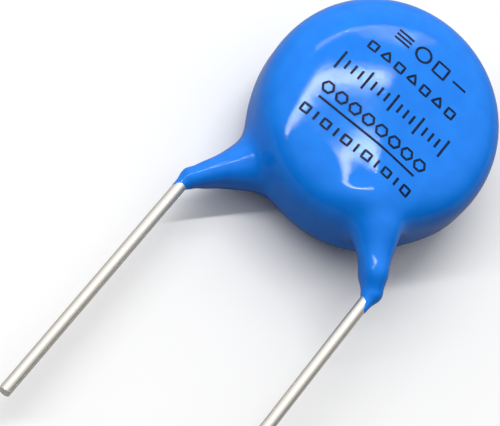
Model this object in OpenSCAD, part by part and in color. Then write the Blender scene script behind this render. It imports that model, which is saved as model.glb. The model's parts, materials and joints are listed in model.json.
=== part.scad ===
// Radial ceramic disc capacitor, lying on its back.
// The disc's flat faces look along Z, the printed front upwards. The two leads run along -Y.
// The origin lies midway between the two leads, level with the bends where they turn straight.

/* [Leads] */
// Distance between the two leads, across X
lead_pitch = 10; // [7.5:0.5:12.5]
// Diameter of the tinned wire
lead_d = 0.6; // [0.5:0.05:0.8]
// Straight length of the leads, from the origin to their cut ends
lead_length = 14.5; // [4:0.5:30]
// Height of each straight lead above or below the disc's mid-plane
lead_offset = 0.8; // [0:0.1:1.3]
// How far one bend lies up and the other down from the origin, along Y
lead_stagger = 0.2; // [0:0.05:0.4]
// Centreline radius of the bends in the wire
lead_bend_r = 0.9; // [0.6:0.1:1.2]
// Distance from the ceramic's centre to each wire's inner end
lead_inner_end = 1.2; // [0.8:0.1:2]

/* [Ceramic disc] */
// Diameter of the ceramic
ceramic_d = 9.6; // [8:0.2:12]
// Thickness of the ceramic
ceramic_t = 3; // [2:0.1:4]
// Bevel that breaks the ceramic's sharp edges
ceramic_bevel = 0.15; // [0.05:0.05:0.3]
// Distance from the origin up to the ceramic's centre, along Y
ceramic_rise = 8.25; // [8:0.05:10]
// Distance of the ceramic's centre from the middle of the leads, along X
ceramic_shift = 0.18; // [-0.4:0.02:0.4]

/* [Electrodes and solder] */
// Bare ceramic left round each silvered face
electrode_margin = 0.6; // [0.3:0.1:1]
// Thickness of the silver film
electrode_t = 0.05; // [0.02:0.01:0.1]
// Solder between the wire and the silver
solder_film = 0.05; // [0.03:0.01:0.1]
// Thickness of the solder beside and over the wire
solder_wrap = 0.25; // [0.15:0.05:0.35]
// Length of the solder mound along the wire
solder_length = 3; // [2:0.2:3.4]

/* [Coating] */
// Coating over the ceramic's rim
coat_rim = 1.2; // [0.8:0.05:1.5]
// Coating over each flat face
coat_face = 1.25; // [1:0.05:1.5]
// Rounding of the coated edge
coat_round = 2; // [1:0.1:2.4]
// Extra coating on the side that drained towards the leads
coat_sag = 0.8; // [0.1:0.1:1]
// Coating over the wire where it crosses the disc, which shows as a low ridge
coat_ridge = 0.75; // [0.65:0.05:0.85]
// Coating round the wire at the end of each neck
coat_neck = 0.2; // [0.15:0.01:0.3]
// Radius of each neck at its root inside the disc's coating
neck_root_r = 1.6; // [1.4:0.1:2]
// Length that the coating creeps along the wire past its bend
coat_creep = 0.8; // [0.6:0.1:1.2]
// Thickness of that creep at its end
coat_edge = 0.06; // [0.03:0.01:0.1]

/* [Hidden] */
$fn = 64;

// The front side is +1 and the rear side -1.
FRONT = 1;
REAR = -1;

// A bend draws the wire a little thinner, and laps into the straight wire by this many degrees.
bend_thinning = 0.97;
bend_lap = 3;
// How far the top of a neck's root lies under the face.
neck_sink = 0.15;
// How many times thicker the creep is at the bend than at its end.
creep_taper = 1.5;
// The coating over the sloping wire is this much thinner at its two ends than what it runs into.
slope_step = 0.05;

lead_r = lead_d / 2;
silver_top = ceramic_t / 2 + electrode_t;
run_z = silver_top + solder_film + lead_r;
coated_r = ceramic_d / 2 + coat_rim;
coated_half_t = ceramic_t / 2 + coat_face;
ceramic_centre = [ceramic_shift, ceramic_rise, 0];

function unit(v) = v / norm(v);

// Each wire crosses the disc on a radius that ends at its bend.
function bend(side) =
    [side * lead_pitch / 2, side * lead_stagger, side * lead_offset];
function outward(side) =
    unit([bend(side).x - ceramic_centre.x, bend(side).y - ceramic_centre.y, 0]);
// A point a given distance out along that radius, and a given height over the mid-plane.
function on_radius(side, reach, z) =
    ceramic_centre + outward(side) * reach + [0, 0, side * z];
function wire_start(side) = on_radius(side, lead_inner_end, run_z);
function wire_edge(side) = on_radius(side, ceramic_d / 2 + lead_r, run_z);
function wire_tip(side) = [bend(side).x, -lead_length, bend(side).z];

// Turns +Z to the direction v. The quarter turn keeps the seam of a round piece off its crest.
module along(v) {
    rotate([0, acos(v.z / norm(v)), atan2(v.y, v.x)]) rotate([0, 0, 90]) children();
}

module rod(from, to, r) {
    translate(from) along(to - from) cylinder(h = norm(to - from), r = r);
}

// A rod whose two ends are rounded, reaching its own radius past each point.
module round_rod(from, to, r) {
    length = norm(to - from);
    translate(from) along(to - from)
        rotate_extrude()
            intersection() {
                union() {
                    square([r, length]);
                    circle(r = r);
                    translate([0, length]) circle(r = r);
                }
                translate([0, -r]) square([r, length + 2 * r]);
            }
}

// Distance from a corner of a path to where its bend begins.
function setback(a, b, c, bend_r) =
    bend_r * tan(acos(unit(b - a) * unit(c - b)) / 2);

// A bend of round wire in the corner a-b-c. It starts and ends inside the straight wire.
module elbow(a, b, c, r, bend_r) {
    before = unit(b - a);
    after = unit(c - b);
    turn = acos(before * after);
    normal = unit(cross(before, after));
    inward = cross(normal, before);
    centre = b - before * setback(a, b, c, bend_r) + inward * bend_r;
    multmatrix([[-inward.x, before.x, normal.x, centre.x],
                [-inward.y, before.y, normal.y, centre.y],
                [-inward.z, before.z, normal.z, centre.z],
                [0, 0, 0, 1]])
        rotate_extrude(angle = turn + 2 * bend_lap, start = -bend_lap)
            translate([bend_r, 0]) circle(r = r * bend_thinning);
}

// Round wire along a path, with a bend at each inner corner.
module wire(path, r, bend_r) {
    last = len(path) - 1;
    for (i = [0 : last - 1]) {
        ahead = unit(path[i + 1] - path[i]);
        cut_in = i == 0 ? 0 : setback(path[i - 1], path[i], path[i + 1], bend_r);
        cut_out = i == last - 1 ? 0 : setback(path[i], path[i + 1], path[i + 2], bend_r);
        rod(path[i] + ahead * cut_in, path[i + 1] - ahead * cut_out, r);
    }
    for (i = [1 : last - 1])
        elbow(path[i - 1], path[i], path[i + 1], r, bend_r);
}

module wire_shape(side) {
    wire([wire_start(side), wire_edge(side), bend(side), wire_tip(side)],
         lead_r, lead_bend_r);
}

// Half section of the ceramic, with its broken edges.
module ceramic_section() {
    r = ceramic_d / 2;
    h = ceramic_t / 2;
    b = ceramic_bevel;
    polygon([[0, -h], [r - b, -h], [r, b - h], [r, h - b], [r - b, h], [0, h]]);
}

// Half section of one silvered face.
module electrode_section(side) {
    translate([0, side > 0 ? ceramic_t / 2 : -silver_top])
        square([ceramic_d / 2 - electrode_margin, electrode_t]);
}

// Turns a half section round the ceramic's own axis.
module turned() {
    translate(ceramic_centre) rotate_extrude() children();
}

// A low mound over the wire's inner end, flat on the silver.
module solder_mound(side) {
    mound_r = lead_r + solder_wrap;
    mound_z = run_z - solder_wrap + solder_film;
    intersection() {
        round_rod(on_radius(side, lead_inner_end, mound_z),
                  on_radius(side, lead_inner_end + solder_length, mound_z), mound_r);
        translate([-lead_pitch / 2, 0, side > 0 ? silver_top : -silver_top - 2 * mound_r])
            cube([lead_pitch, ceramic_rise, 2 * mound_r]);
    }
}

// Half section of the coated disc: flat faces and a rounded rim.
module coated_section() {
    inner_r = coated_r - coat_round;
    inner_h = coated_half_t - coat_round;
    translate([0, -coated_half_t]) square([inner_r, 2 * coated_half_t]);
    translate([0, -inner_h]) square([coated_r, 2 * inner_h]);
    for (side = [FRONT, REAR])
        translate([inner_r, side * inner_h])
            intersection() {
                circle(r = coat_round);
                translate([0, side > 0 ? 0 : -coat_round]) square(coat_round);
            }
}

// The coated disc: two half rounds, with the sag between them.
module coated_disc() {
    translate(ceramic_centre) {
        rotate_extrude(angle = 180) coated_section();
        translate([0, -coat_sag, 0]) rotate_extrude(angle = 180, start = 180) coated_section();
        for (turn = [0, 1])
            mirror([turn, 0, 0]) rotate([90, 0, 0])
                linear_extrude(height = coat_sag) coated_section();
    }
}

// A neck of coating round one wire: it flares at its root and ends in a ball over the bend.
module neck(side) {
    tip_r = lead_r + coat_neck;
    root = on_radius(side, coated_r - coat_round, coated_half_t - neck_root_r - neck_sink);
    length = norm(bend(side) - root);
    flare = neck_root_r - tip_r;
    flare_r = (flare * flare + length * length) / (2 * flare);
    translate(root) along(bend(side) - root)
        rotate_extrude() {
            difference() {
                square([neck_root_r, length]);
                translate([tip_r + flare_r, length]) circle(r = flare_r);
            }
            intersection() {
                translate([0, length]) circle(r = tip_r);
                translate([0, length - tip_r]) square([tip_r, 2 * tip_r]);
            }
        }
}

// The coating over the wire where it slopes from the ridge down to its bend.
module slope(side) {
    fall = bend(side) - wire_edge(side);
    translate(wire_edge(side)) along(fall)
        cylinder(h = norm(fall), r1 = lead_r + coat_ridge - slope_step,
                 r2 = lead_r + coat_neck - slope_step);
}

// The coating over one wire: a ridge on the face, its slope, the neck, and a thin creep past
// the bend.
module run_down(side) {
    round_rod(wire_start(side), wire_edge(side), lead_r + coat_ridge);
    slope(side);
    neck(side);
    translate(bend(side)) along([0, -1, 0])
        cylinder(h = coat_creep, r1 = lead_r + coat_edge * creep_taper, r2 = lead_r + coat_edge);
}

module epoxy_coating() {
    color("dodgerblue")
        difference() {
            union() {
                coated_disc();
                run_down(FRONT);
                run_down(REAR);
            }
            turned() {
                ceramic_section();
                electrode_section(FRONT);
                electrode_section(REAR);
            }
            for (side = [FRONT, REAR]) {
                solder_mound(side);
                wire_shape(side);
            }
        }
}

module ceramic_disc() {
    color("burlywood") turned() ceramic_section();
}

module electrode(side) {
    color("silver") turned() electrode_section(side);
}

module solder(side) {
    color("lightslategray")
        difference() {
            solder_mound(side);
            wire_shape(side);
        }
}

module lead(side) {
    color("gainsboro") wire_shape(side);
}

epoxy_coating();
ceramic_disc();
electrode(FRONT);  // front_electrode
electrode(REAR);  // rear_electrode
solder(FRONT);  // front_solder
solder(REAR);  // rear_solder
lead(FRONT);  // front_lead
lead(REAR);  // rear_lead
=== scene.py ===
import math

import bmesh
import bpy
import numpy as np
from mathutils import Matrix, Vector
from mathutils.bvhtree import BVHTree
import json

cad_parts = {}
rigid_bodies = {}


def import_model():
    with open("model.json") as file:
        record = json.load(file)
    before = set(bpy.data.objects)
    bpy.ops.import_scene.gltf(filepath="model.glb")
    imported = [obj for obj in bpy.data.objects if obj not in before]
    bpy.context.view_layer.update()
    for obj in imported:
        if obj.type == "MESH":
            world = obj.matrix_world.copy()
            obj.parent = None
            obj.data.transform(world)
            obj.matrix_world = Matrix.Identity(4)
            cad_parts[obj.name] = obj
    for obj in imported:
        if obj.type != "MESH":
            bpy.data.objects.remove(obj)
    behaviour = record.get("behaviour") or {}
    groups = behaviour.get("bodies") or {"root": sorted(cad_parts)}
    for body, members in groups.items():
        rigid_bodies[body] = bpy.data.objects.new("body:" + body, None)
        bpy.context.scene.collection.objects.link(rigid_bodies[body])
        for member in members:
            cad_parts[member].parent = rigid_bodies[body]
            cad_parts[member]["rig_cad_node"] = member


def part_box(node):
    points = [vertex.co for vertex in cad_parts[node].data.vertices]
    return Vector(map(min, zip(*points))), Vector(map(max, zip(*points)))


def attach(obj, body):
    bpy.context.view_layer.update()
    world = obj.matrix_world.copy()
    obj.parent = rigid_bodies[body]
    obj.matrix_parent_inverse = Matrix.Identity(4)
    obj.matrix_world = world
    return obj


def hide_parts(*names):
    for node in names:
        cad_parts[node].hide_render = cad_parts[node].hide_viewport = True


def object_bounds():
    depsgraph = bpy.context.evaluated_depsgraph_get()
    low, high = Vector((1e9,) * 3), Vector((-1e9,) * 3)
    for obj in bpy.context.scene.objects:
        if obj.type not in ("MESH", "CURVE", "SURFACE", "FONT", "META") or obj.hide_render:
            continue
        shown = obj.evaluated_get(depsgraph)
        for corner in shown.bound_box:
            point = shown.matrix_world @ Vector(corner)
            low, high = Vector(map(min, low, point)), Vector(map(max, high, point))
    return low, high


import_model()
cad_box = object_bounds()

# The view. The part lies on its back, and is seen from the side of its leads: tipped off the
# printed face, and rolled so that the leads run down to the left. Places are in metres, as the
# frame's are, and a size with MM after it is in millimetres.
MM = 0.001
TILT = math.radians(28.5)
ROLL = math.radians(39.69)
VIEW_DISTANCE = 125.7 * MM
AIM_LEFT = 6.14 * MM
AIM_DOWN = 4.47 * MM

disc_low, disc_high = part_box("ceramic_disc")
disc_centre = (disc_low + disc_high) / 2
to_camera = Vector((0, -math.sin(TILT), math.cos(TILT)))
down_slope = Vector((0, -math.cos(TILT), -math.sin(TILT)))
across = Vector((1, 0, 0))
view_right = across * math.cos(ROLL) - down_slope * math.sin(ROLL)
view_down = across * math.sin(ROLL) + down_slope * math.cos(ROLL)
aim = disc_centre - view_right * AIM_LEFT + view_down * AIM_DOWN


def placed(right, up, back, origin):
    """The matrix that puts an object's axes X, Y and Z along right, up and back."""
    turn = Matrix((right, up, back)).transposed().to_4x4()
    return Matrix.Translation(origin) @ turn


camera_data = bpy.data.cameras.new("camera")
camera_data.lens = 188.7
camera_data.sensor_width = 36
camera_data.clip_start = 1 * MM
camera_data.clip_end = 10
camera = bpy.data.objects.new("camera", camera_data)
camera.matrix_world = placed(view_right, -view_down, to_camera, aim + to_camera * VIEW_DISTANCE)
bpy.context.scene.collection.objects.link(camera)
bpy.context.scene.camera = camera
bpy.context.scene.view_settings.view_transform = "Standard"


# Shader maths for the materials. A Shade is one value or colour in a material's nodes, and
# Python's operators on it add Math nodes.
class Shade:
    def __init__(self, tree, socket=None):
        self.tree = tree
        self.socket = socket

    def node(self, kind, settings, inputs, output=0):
        """Adds one node: its settings first, then the values or links of its sockets."""
        made = self.tree.nodes.new(kind)
        for name, value in settings.items():
            setattr(made, name, value)
        for name, value in inputs.items():
            if isinstance(value, Shade):
                self.tree.links.new(value.socket, made.inputs[name])
            else:
                made.inputs[name].default_value = value
        return Shade(self.tree, made.outputs[output] if made.outputs else None)

    def maths(self, operation, *values):
        return self.node("ShaderNodeMath", {"operation": operation}, dict(enumerate(values)))

    def __add__(self, other):
        return self.maths("ADD", self, other)

    def __radd__(self, other):
        return self.maths("ADD", other, self)

    def __mul__(self, other):
        return self.maths("MULTIPLY", self, other)

    def mixed(self, start, end):
        """A colour that goes from start to end as this value goes from 0 to 1."""
        return self.node("ShaderNodeMix", {"data_type": "RGBA"}, {0: self, 6: start, 7: end}, 2)

    def eased(self, low, high):
        """This value from low to high, as a smooth step from 0 to 1."""
        return self.node("ShaderNodeMapRange", {"interpolation_type": "SMOOTHSTEP"},
                         {"Value": self, "From Min": low, "From Max": high})


def new_material(name):
    """A material with an empty node tree, and the Shade that its nodes are added through."""
    material = bpy.data.materials.new(name)
    material.use_nodes = True
    material.node_tree.nodes.clear()
    return material, Shade(material.node_tree)


def finish_material(shade, sockets, normal=None):
    """Adds the Principled shader with these sockets, and the material's output."""
    if normal is not None:
        sockets = {**sockets, "Normal": normal}
    surface = shade.node("ShaderNodeBsdfPrincipled", {}, sockets)
    shade.node("ShaderNodeOutputMaterial", {}, {"Surface": surface})


def in_millimetres(shade, scale=(1, 1, 1)):
    """The object's own coordinates in millimetres, stretched by scale."""
    position = shade.node("ShaderNodeTexCoord", {}, {}, "Object")
    return shade.node("ShaderNodeMapping", {},
                      {"Vector": position, "Scale": [share / MM for share in scale]})


# The floor is a plain pale sheet, level with the lowest point of the coating. The light is a
# studio's: two long lamps side by side overhead, one near and one further back, in dim
# surroundings. Places overhead are shares of the lamps' height. The floor bounces less light than
# it shows, so that the glossy rim stays deep in colour.
FLOOR_SIZE = 3.0
FLOOR_COLOUR = (0.9, 0.9, 0.9, 1)
FLOOR_BOUNCE = (0.3, 0.3, 0.3, 1)
LAMP_HEIGHT = 0.28

bm = bmesh.new()
bmesh.ops.create_grid(bm, x_segments=1, y_segments=1, size=FLOOR_SIZE / 2,
                      matrix=Matrix.Translation((0, 0, cad_box[0].z)))
floor_mesh = bpy.data.meshes.new("floor")
bm.to_mesh(floor_mesh)
bm.free()
floor_material, shade = new_material("floor_paper")
seen = shade.node("ShaderNodeLightPath", {}, {}, "Is Camera Ray")
finish_material(shade, {"Base Color": seen.mixed(FLOOR_BOUNCE, FLOOR_COLOUR), "Roughness": 0.7})
floor_mesh.materials.append(floor_material)
floor = bpy.data.objects.new("floor", floor_mesh)
bpy.context.scene.collection.objects.link(floor)


def strip_light(name, end, heading, length, width, brightness):
    """A long lamp overhead, facing down. It runs from its end in the direction heading."""
    turn = math.radians(heading)
    along = Vector((math.cos(turn), math.sin(turn), 0))
    place = disc_centre + (Vector((*end, 1)) + along * length / 2) * LAMP_HEIGHT
    lamp = bpy.data.lights.new(name, "AREA")
    lamp.shape = "RECTANGLE"
    lamp.size = length * LAMP_HEIGHT
    lamp.size_y = width * LAMP_HEIGHT
    lamp.energy = brightness * math.pi * lamp.size * lamp.size_y
    holder = bpy.data.objects.new(name, lamp)
    up = Vector((0, 0, 1))
    holder.matrix_world = placed(along, up.cross(along), up, place)
    bpy.context.scene.collection.objects.link(holder)


strip_light("near_lamp", (0.085, 0.644), 230, 1.9, 0.052, 31)
strip_light("far_lamp", (0.09, 1.03), 216, 0.85, 0.01, 48)

world = bpy.data.worlds.new("studio")
world.use_nodes = True
world.node_tree.nodes.clear()
shade = Shade(world.node_tree)
SKY_TOWARDS = (-0.35, 0.45, 0.82)
SKY_BRIGHT = 0.86
SKY_DIM = 0.05
direction = shade.node("ShaderNodeTexCoord", {}, {}, "Generated")
towards = shade.node("ShaderNodeVectorMath", {"operation": "DOT_PRODUCT"},
                     {0: direction, 1: SKY_TOWARDS}, "Value")
strength = towards.eased(-0.1, 1.0) * SKY_BRIGHT + SKY_DIM
background = shade.node("ShaderNodeBackground", {}, {"Color": (1, 1, 1, 1), "Strength": strength})
shade.node("ShaderNodeOutputWorld", {}, {"Surface": background})
bpy.context.scene.world = world

# The ceramic: a disc of barium titanate powder, pressed and fired until it is dense and hard. Its
# body is matt and biscuit brown, and its sharp edges are broken. It keeps the frame's own shape.


def finish_piece(node, material):
    """Gives a node of the frame its finish."""
    piece = next(item for item in bpy.data.objects if item.get("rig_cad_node") == node)
    for slot in piece.material_slots:
        slot.material = material


fired, shade = new_material("fired_ceramic")
place = in_millimetres(shade)
grain = shade.node("ShaderNodeTexNoise", {}, {"Vector": place, "Scale": 14.0, "Detail": 4.0}, "Fac")
cloud = shade.node("ShaderNodeTexNoise", {}, {"Vector": place, "Scale": 0.5, "Detail": 2.0}, "Fac")
mottle = grain * 0.4 + cloud * 0.6
biscuit = mottle.eased(0.3, 0.7).mixed((0.50, 0.35, 0.21, 1), (0.60, 0.45, 0.30, 1))
relief = shade.node("ShaderNodeBump", {}, {"Strength": 1.0, "Distance": 0.006 * MM,
                                            "Height": grain})
finish_material(shade, {"Base Color": biscuit, "Roughness": 0.75}, relief)
finish_piece("ceramic_disc", fired)

# The electrodes: silver paste, screened on each face of the ceramic and fired to a thin film. It
# stops short of the rim, is dull and slightly grained, and has started to tarnish.
silver, shade = new_material("silver_film")
place = in_millimetres(shade)
grain = shade.node("ShaderNodeTexNoise", {}, {"Vector": place, "Scale": 20.0, "Detail": 3.0}, "Fac")
tarnish = shade.node("ShaderNodeTexNoise", {}, {"Vector": place, "Scale": 0.7, "Detail": 4.0}, "Fac")
film = tarnish.eased(0.4, 0.75).mixed((0.84, 0.83, 0.80, 1), (0.62, 0.57, 0.47, 1))
relief = shade.node("ShaderNodeBump", {}, {"Strength": 1.0, "Distance": 0.003 * MM,
                                            "Height": grain})
finish_material(shade, {"Base Color": film, "Metallic": 1.0, "Roughness": 0.3 + grain * 0.25},
                relief)
for side in ("front", "rear"):
    finish_piece(f"{side}_electrode", silver)

# The leads: tinned copper wire, 0.6 mm thick. Each is soldered across one silvered face, comes
# out over the ceramic's edge, slopes down inside its neck, and bends to run straight.
SIDES = {"front": 1, "rear": -1}
WIRE_R = 0.3
BEND_R = 0.9
WIRE_SIDES = 40
LEAD_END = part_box("front_lead")[0].y / MM
# A bend's place: half the pitch between the leads, half their stagger, and height.
BEND_PLACE = (5, 0.2, 0.8)
# Where a wire starts and leaves the ceramic, out from the disc's centre, and its height there.
WIRE_START = 1.2
WIRE_EDGE = 5.1
WIRE_HEIGHT = 1.9
# The rounding of the cut end.
CUT_ROUND = 0.04

bend_at = {side: np.array(BEND_PLACE) * sign for side, sign in SIDES.items()}


def outward(side):
    """The direction across the disc in which a wire runs out to its bend."""
    reach = bend_at[side] - np.array(disc_centre) / MM
    reach[2] = 0
    return reach / np.linalg.norm(reach)


def beside(side):
    """The direction across the wire, a quarter turn left of outward."""
    return np.array([-outward(side)[1], outward(side)[0], 0])


def on_radius(side, reach, z):
    """A point a distance out along that direction, and a height over the mid-plane."""
    return np.array(disc_centre) / MM + outward(side) * reach + np.array([0, 0, SIDES[side] * z])


def spun_wire(corners, radius, bend_r, sides):
    """Round wire through the corners, as one ring of edges that is drawn and spun along."""
    bm = bmesh.new()
    heading = (corners[1] - corners[0]).normalized()
    turn = heading.to_track_quat("Z", "Y").to_matrix().to_4x4()
    bmesh.ops.create_circle(bm, cap_ends=False, segments=sides, radius=radius,
                            matrix=Matrix.Translation(corners[0]) @ turn)
    ring = bm.edges[:]
    start = ring
    reached = corners[0]
    for here, corner in enumerate(corners[1:], 1):
        last = here == len(corners) - 1
        heading = (corner - reached).normalized()
        if last:
            stop = corner
        else:
            onward = (corners[here + 1] - corner).normalized()
            angle = heading.angle(onward)
            stop = corner - heading * bend_r * math.tan(angle / 2)
        moved = bmesh.ops.extrude_edge_only(bm, edges=ring)
        fresh = [part for part in moved["geom"] if isinstance(part, bmesh.types.BMVert)]
        bmesh.ops.translate(bm, verts=fresh, vec=stop - reached)
        ring = [part for part in moved["geom"] if isinstance(part, bmesh.types.BMEdge)]
        reached = stop
        if not last:
            axis = heading.cross(onward).normalized()
            centre = stop + axis.cross(heading) * bend_r
            spun = bmesh.ops.spin(bm, geom=ring, cent=centre, axis=axis, angle=angle, steps=12)
            ring = [part for part in spun["geom_last"] if isinstance(part, bmesh.types.BMEdge)]
            reached = centre + Matrix.Rotation(angle, 3, axis) @ (stop - centre)
    return bm, start, ring


def lead(side):
    """The mesh of one lead, in metres."""
    corners = [Vector(on_radius(side, WIRE_START, WIRE_HEIGHT)),
               Vector(on_radius(side, WIRE_EDGE, WIRE_HEIGHT)),
               Vector(bend_at[side])]
    corners.append(Vector((corners[2].x, LEAD_END, corners[2].z)))
    bm, start, end = spun_wire(corners, WIRE_R, BEND_R, WIRE_SIDES)
    bmesh.ops.holes_fill(bm, edges=start)
    bmesh.ops.holes_fill(bm, edges=end)
    bmesh.ops.recalc_face_normals(bm, faces=bm.faces)
    bmesh.ops.bevel(bm, geom=end, offset=CUT_ROUND, affect="EDGES", segments=3, profile=0.5,
                    material=-1)
    bmesh.ops.scale(bm, vec=(MM, MM, MM), verts=bm.verts)
    mesh = bpy.data.meshes.new(f"{side}_wire")
    bm.to_mesh(mesh)
    bm.free()
    mesh.shade_smooth()
    return mesh


tin, shade = new_material("tinned_wire")
drawn = in_millimetres(shade, (1, 0.03, 1))
lines = shade.node("ShaderNodeTexNoise", {}, {"Vector": drawn, "Scale": 14.0, "Detail": 2.0}, "Fac")
relief = shade.node("ShaderNodeBump", {}, {"Strength": 1.0, "Distance": 0.001 * MM,
                                            "Height": lines})
finish_material(shade, {"Base Color": (0.9, 0.86, 0.78, 1), "Metallic": 0.75,
                        "Roughness": 0.26}, relief)
for side in SIDES:
    wire_mesh = lead(side)
    wire_mesh.materials.append(tin)
    wire_piece = bpy.data.objects.new(f"{side}_wire", wire_mesh)
    bpy.context.scene.collection.objects.link(wire_piece)
    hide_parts(f"{side}_lead")
    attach(wire_piece, "root")

# The solder: a tin alloy that was dipped on, hot, over each wire's end. It froze in a low mound,
# bright where it is smooth and dull where it crystallised.
alloy, shade = new_material("solder")
place = in_millimetres(shade)
frost = shade.node("ShaderNodeTexVoronoi", {}, {"Vector": place, "Scale": 7.0}, "Distance")
swirl = shade.node("ShaderNodeTexNoise", {}, {"Vector": place, "Scale": 2.0, "Detail": 3.0}, "Fac")
tin_grey = swirl.eased(0.35, 0.7).mixed((0.66, 0.67, 0.68, 1), (0.50, 0.50, 0.52, 1))
relief = shade.node("ShaderNodeBump", {}, {"Strength": 1.0, "Distance": 0.01 * MM,
                                            "Height": frost * 0.4 + swirl})
finish_material(shade, {"Base Color": tin_grey, "Metallic": 1.0, "Roughness": 0.2 + frost * 0.3},
                relief)
for side in SIDES:
    finish_piece(f"{side}_solder", alloy)

# The coating: opaque blue epoxy that the soldered disc was dipped in, hanging by its leads. It
# ran down and set as one skin, with soft rims, a low ridge over the wire on each face, and a
# neck that it pulled out round each wire as far as the bend. Worked in millimetres.
COATED_R = 5.95
STRETCH = 1.07
SAG = 0.4
HALF_THICKNESS = 2.4
RIM_ROUND = 2.25
RIM_FULLNESS = 2.6
# The broad dome of each face: height, spread and place on the face.
DOME_HEIGHT = 0.5
DOME_SPREAD = 4.3
DOME_PLACE = (-1.75, 1.05)
# The low ridge over each wire: height, place out along the wire, distance beside it, and spreads
# along and across. Then the run that set beside it, in the same way.
RIDGE_HEIGHT = 0.33
RIDGE_REACH = 6.2
RIDGE_ASIDE = -0.9
RIDGE_LENGTH = 4.0
RIDGE_WIDTH = 1.5
RUN_HEIGHT = 0.18
RUN_REACH = 5.5
RUN_ASIDE = -1.5
RUN_LENGTH = 0.7
RUN_WIDTH = 1.3
# The shallow hollow in the outline: direction and spread in degrees, and depth.
HOLLOW_HEADING = -35
HOLLOW_SPREAD = 16
HOLLOW_DEPTH = 0.2
# Each neck: the fillet at its root, how far its root lies back from the bend, aside and raised,
# and how far short of the bend and aside of it the neck ends.
NECK_FILLET = {"front": 1.25, "rear": 1.7}
NECK_ROOT = {"front": (3.02, -0.1, 0.5), "rear": (3.4, 0.15, 0.5)}
NECK_ROOT_R = {"front": 1.05, "rear": 1.12}
NECK_TIP = {"front": (0.08, 0.06), "rear": (0, 0.15)}
NECK_TIP_R = {"front": 0.42, "rear": 0.42}
# Its belly near the end, and the crest on its top and underside: height, place and spread, as
# shares of the neck's length.
NECK_BELLY = {"front": 0.12, "rear": 0.1}
BELLY_PLACE = 0.8
BELLY_SPREAD = 0.2
NECK_CREST = {"front": (0.3, 0.7, 0.26), "rear": (0.22, 0.6, 0.5)}
# The lip that follows the wire past its bend, thicker on the outside of the bend.
LIP_START_R = {"front": 0.41, "rear": 0.42}
LIP_END_R = 0.2
LIP_SHIFT = {"front": (0.12, 0, 0.05), "rear": (-0.13, 0, 0.02)}
LIP_LENGTH = {"front": 1.1, "rear": 1.15}
LIP_FILLET = 0.45
# The faces of the rough skin and of the finished one.
ROUGH_VOXEL = 0.15
VOXEL = 0.08
# The cone and ball that a neck starts from: how far back it reaches, its radii, and the ball's
# radius and distance past the bend.
ROUGH_BACK = 5.5
ROUGH_ROOT_R = 1.5
ROUGH_TIP_R = 0.7
ROUGH_BALL_R = 0.6
ROUGH_BALL_PAST = 0.4

pool_centre = np.array([disc_centre.x, disc_centre.y - SAG * MM, 0]) / MM


def rolled_ball(points, start, end, start_r, end_r):
    """Distance of each point from a ball that rolls from start to end as its radius changes."""
    run = end - start
    share = np.clip((points - start) @ run / (run @ run), 0, 1)
    return np.linalg.norm(points - start - share[:, None] * run, axis=1) - (
        start_r + (end_r - start_r) * share)


def melted(first, second, fillet):
    """Two distances joined with a fillet, as the wet coating joins."""
    share = np.maximum(1 - np.abs(first - second) / fillet, 0)
    return np.minimum(first, second) - fillet / 6 * share ** 3


def face_height(points, side):
    """How far the face stands over its edge: a broad dome, and the swelling over the wire."""
    x, y, _ = (points - pool_centre).T
    dome_x, dome_y = DOME_PLACE
    from_dome = (x - dome_x * SIDES[side]) ** 2 + (y - dome_y) ** 2
    height = DOME_HEIGHT * np.exp(-from_dome / DOME_SPREAD ** 2)
    from_disc = points - np.array(disc_centre) / MM
    along = from_disc @ outward(side)
    off = from_disc @ beside(side)
    height += RIDGE_HEIGHT * np.exp(-((along - RIDGE_REACH) / RIDGE_LENGTH) ** 2
                                    - ((off - RIDGE_ASIDE) / RIDGE_WIDTH) ** 2)
    height += RUN_HEIGHT * np.exp(-((along - RUN_REACH) / RUN_LENGTH) ** 2
                                  - ((off - RUN_ASIDE) / RUN_WIDTH) ** 2)
    return height


def pool(points):
    """The coated disc alone."""
    x, y, z = (points - pool_centre).T
    r = np.hypot(x, y / STRETCH)
    azimuth = np.degrees(np.arctan2(y, x))
    off = (azimuth - HOLLOW_HEADING + 180) % 360 - 180
    r = r + HOLLOW_DEPTH * np.exp(-(off / HOLLOW_SPREAD) ** 2) * np.minimum(r / COATED_R, 1)
    rim = r - (COATED_R - RIM_ROUND)
    height = np.where(z > 0, face_height(points, "front"), face_height(points, "rear"))
    face = np.abs(z) - height - (HALF_THICKNESS - RIM_ROUND)
    corner = np.maximum(rim, 0) ** RIM_FULLNESS + np.maximum(face, 0) ** RIM_FULLNESS
    return corner ** (1 / RIM_FULLNESS) + np.minimum(np.maximum(rim, face), 0) - RIM_ROUND


def run_down(points, side):
    """The coating over one wire: its neck, and the lip that follows the wire past its bend."""
    bend = bend_at[side]
    back, aside, raised = NECK_ROOT[side]
    root = bend - outward(side) * back + beside(side) * aside
    root[2] += SIDES[side] * raised
    short, aside = NECK_TIP[side]
    tip = bend - outward(side) * short + beside(side) * aside
    axis = tip - root
    share = np.clip((points - root) @ axis / (axis @ axis), 0, 1)
    off = points - root - share[:, None] * axis
    width = np.linalg.norm(off, axis=1)
    narrowing = (NECK_TIP_R[side] - NECK_ROOT_R[side]) * share ** 2 * (3 - 2 * share)
    radius = NECK_ROOT_R[side] + narrowing
    radius += NECK_BELLY[side] * np.exp(-((share - BELLY_PLACE) / BELLY_SPREAD) ** 2)
    crest, place, spread = NECK_CREST[side]
    upright = off[:, 2] / np.maximum(width, 0.01)
    radius += crest * upright ** 2 * np.exp(-((share - place) / spread) ** 2)
    lip_end = bend + np.array(LIP_SHIFT[side]) + np.array([0, -LIP_LENGTH[side], 0])
    lip = rolled_ball(points, tip, lip_end, LIP_START_R[side], LIP_END_R)
    return melted(width - radius, lip, LIP_FILLET)


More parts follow.
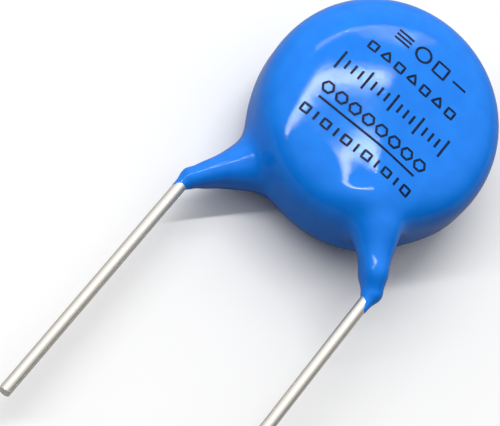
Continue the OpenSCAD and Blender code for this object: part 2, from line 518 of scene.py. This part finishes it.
def coating(points):
    """The whole coating, with its necks melted into the pool."""
    whole = pool(points)
    for side in SIDES:
        whole = melted(whole, run_down(points, side), NECK_FILLET[side])
    return whole


def drawn_onto(points, distance, passes=6, step=0.002):
    """Moves points down the slope of a distance until they lie on its surface."""
    for _ in range(passes):
        gap = distance(points)
        slope = np.stack([distance(points + shift) - distance(points - shift)
                          for shift in np.eye(3) * step], axis=1) / (2 * step)
        points = points - slope * (gap / np.sum(slope * slope, axis=1))[:, None]
    return points


def voxel_skin(mesh, voxel):
    """A new mesh over an object's outer surface, with faces of one size."""
    holder = bpy.data.objects.new("skin", mesh)
    bpy.context.scene.collection.objects.link(holder)
    remesh = holder.modifiers.new("skin", "REMESH")
    remesh.mode = "VOXEL"
    remesh.voxel_size = voxel
    seen = holder.evaluated_get(bpy.context.evaluated_depsgraph_get())
    skin = bpy.data.meshes.new_from_object(seen)
    bpy.data.objects.remove(holder)
    return skin


def settle(mesh, distance):
    """Draws a mesh's vertices onto the surface of a distance."""
    flat = np.empty(len(mesh.vertices) * 3)
    mesh.vertices.foreach_get("co", flat)
    mesh.vertices.foreach_set("co", drawn_onto(flat.reshape(-1, 3), distance).ravel())
    mesh.update()


# A rough start: a drum, with a cone and a ball for each neck. It is skinned, drawn onto the
# coating's surface, and skinned and drawn once more with smaller faces.
bm = bmesh.new()
bmesh.ops.create_cone(bm, cap_ends=True, segments=96, radius1=COATED_R + SAG, radius2=COATED_R + SAG,
                      depth=2 * HALF_THICKNESS, matrix=Matrix.Translation(pool_centre))
for side in SIDES:
    root = Vector(bend_at[side] - outward(side) * ROUGH_BACK)
    tip = Vector(bend_at[side])
    turn = (tip - root).to_track_quat("Z", "Y").to_matrix().to_4x4()
    bmesh.ops.create_cone(bm, cap_ends=True, segments=32, radius1=ROUGH_ROOT_R,
                          radius2=ROUGH_TIP_R, depth=(tip - root).length,
                          matrix=Matrix.Translation((root + tip) / 2) @ turn)
    bmesh.ops.create_uvsphere(bm, u_segments=24, v_segments=16, radius=ROUGH_BALL_R,
                              matrix=Matrix.Translation(tip + Vector((0, -ROUGH_BALL_PAST, 0))))
rough = bpy.data.meshes.new("rough_coating")
bm.to_mesh(rough)
bm.free()
first_skin = voxel_skin(rough, ROUGH_VOXEL)
settle(first_skin, coating)
coating_mesh = voxel_skin(first_skin, VOXEL)
settle(coating_mesh, coating)
coating_mesh.name = "coating"
coating_mesh.transform(Matrix.Scale(MM, 4))
coating_mesh.shade_smooth()

epoxy, shade = new_material("blue_epoxy")
place = in_millimetres(shade)
peel = shade.node("ShaderNodeTexNoise", {}, {"Vector": place, "Scale": 17.0, "Detail": 2.0}, "Fac")
waves = shade.node("ShaderNodeTexNoise", {}, {"Vector": place, "Scale": 1.2, "Detail": 1.0}, "Fac")
blue = waves.eased(0.3, 0.7).mixed((0.006, 0.225, 0.88, 1), (0.004, 0.205, 0.84, 1))
relief = shade.node("ShaderNodeBump", {}, {"Strength": 1.0, "Distance": 0.0022 * MM,
                                            "Height": peel})
finish_material(shade, {"Base Color": blue, "Roughness": 0.06, "IOR": 1.36}, relief)
coating_mesh.materials.clear()
coating_mesh.materials.append(epoxy)
coating_piece = bpy.data.objects.new("coating", coating_mesh)
bpy.context.scene.collection.objects.link(coating_piece)
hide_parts("epoxy_coating")
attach(coating_piece, "root")

# The marking: dark ink stamped on the front face in rows across the leads, once the epoxy had
# set. It carries plain shapes only. Each stroke is a thin closed line laid on the coating.
INK_WIDTH = 0.13
INK_RELIEF = 0.006
INK_STEP = 0.1

ink_curve = bpy.data.curves.new("ink", "CURVE")
ink_curve.dimensions = "3D"
ink_curve.bevel_depth = INK_WIDTH / 2
ink_curve.bevel_resolution = 2
ink_curve.use_fill_caps = True


def ink_stroke(corners, closed=False):
    """Adds one stroke through corners on the face, with points close enough to follow it."""
    ends = corners[1:] + corners[:1] if closed else corners[1:]
    points = [] if closed else [corners[0]]
    for start, end in zip(corners, ends):
        steps = max(1, round((end - start).length / INK_STEP))
        points += [start.lerp(end, step / steps) for step in range(1, steps + 1)]
    spline = ink_curve.splines.new("POLY")
    spline.points.add(len(points) - 1)
    for knot, point in zip(spline.points, points):
        knot.co = (point.x, point.y, 0, 1)
    spline.use_cyclic_u = closed


def ink_ring(x, y, radius, sides=28, turn=0, flat=1):
    """A ring, or a polygon if it has few sides. Flat makes it an oval."""
    angles = [math.radians(turn) + math.tau * side / sides for side in range(sides)]
    ink_stroke([Vector((x + radius * math.cos(a), y + radius * flat * math.sin(a))) for a in angles],
               closed=True)


def ink_bar(x, y, length, turn=0):
    """A straight stroke about its middle."""
    half = Vector((length / 2, 0))
    half.rotate(Matrix.Rotation(math.radians(turn), 2))
    ink_stroke([Vector((x, y)) - half, Vector((x, y)) + half])


# Five rows of plain shapes, from the far edge of the face to the leads' side: bars, a ring and a
# square; squares and triangles; a scale of upright bars; hexagons over a rule; bars and squares.
for level in (-0.24, 0, 0.24):
    ink_bar(-1.5, 3.1 + level, 0.9)
ink_ring(-0.3, 3.1, 0.4)
ink_ring(0.8, 3.1, 0.48, sides=4, turn=45)
ink_bar(1.95, 3.1, 0.8)

for step in range(7):
    ink_ring(-2.4 + 0.8 * step, 1.6, 0.3, sides=3 if step % 2 else 4, turn=90 if step % 2 else 45)

for step in range(17):
    ink_bar(-3.2 + 0.4 * step, -0.1, 0.55 if step % 4 else 1.1, turn=90)

for step in range(8):
    ink_ring(-2.8 + 0.8 * step, -1.65, 0.3, sides=6)
ink_bar(0, -2.3, 5.8)

for step in range(11):
    if step % 2:
        ink_bar(-3.0 + 0.6 * step, -3.2, 0.5, turn=90)
    else:
        ink_ring(-3.0 + 0.6 * step, -3.2, 0.28, sides=4, turn=45)

holder = bpy.data.objects.new("ink", ink_curve)
bpy.context.scene.collection.objects.link(holder)
flat_ink = holder.evaluated_get(bpy.context.evaluated_depsgraph_get())
ink_mesh = bpy.data.meshes.new_from_object(flat_ink)
bpy.data.objects.remove(holder)
ink_mesh.name = "marking_print"
bm = bmesh.new()
bm.from_mesh(coating_mesh)
coating_skin = BVHTree.FromBMesh(bm)
bm.free()
for vertex in ink_mesh.vertices:
    x, y, z = vertex.co
    above = Vector((x + pool_centre[0], y + pool_centre[1], 10)) * MM
    hit, *_ = coating_skin.ray_cast(above, Vector((0, 0, -1)))
    vertex.co = hit + Vector((0, 0, z * INK_RELIEF / (INK_WIDTH / 2) * MM))
ink_mesh.shade_smooth()

ink, shade = new_material("marking_ink")
place = in_millimetres(shade)
worn = shade.node("ShaderNodeTexNoise", {}, {"Vector": place, "Scale": 6.0, "Detail": 3.0}, "Fac")
navy = worn.eased(0.35, 0.7).mixed((0.001, 0.006, 0.022, 1), (0.002, 0.02, 0.08, 1))
finish_material(shade, {"Base Color": navy, "Roughness": 0.4, "Specular IOR Level": 0.12})
ink_mesh.materials.clear()
ink_mesh.materials.append(ink)
ink_piece = bpy.data.objects.new("marking_print", ink_mesh)
bpy.context.scene.collection.objects.link(ink_piece)
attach(ink_piece, "root")
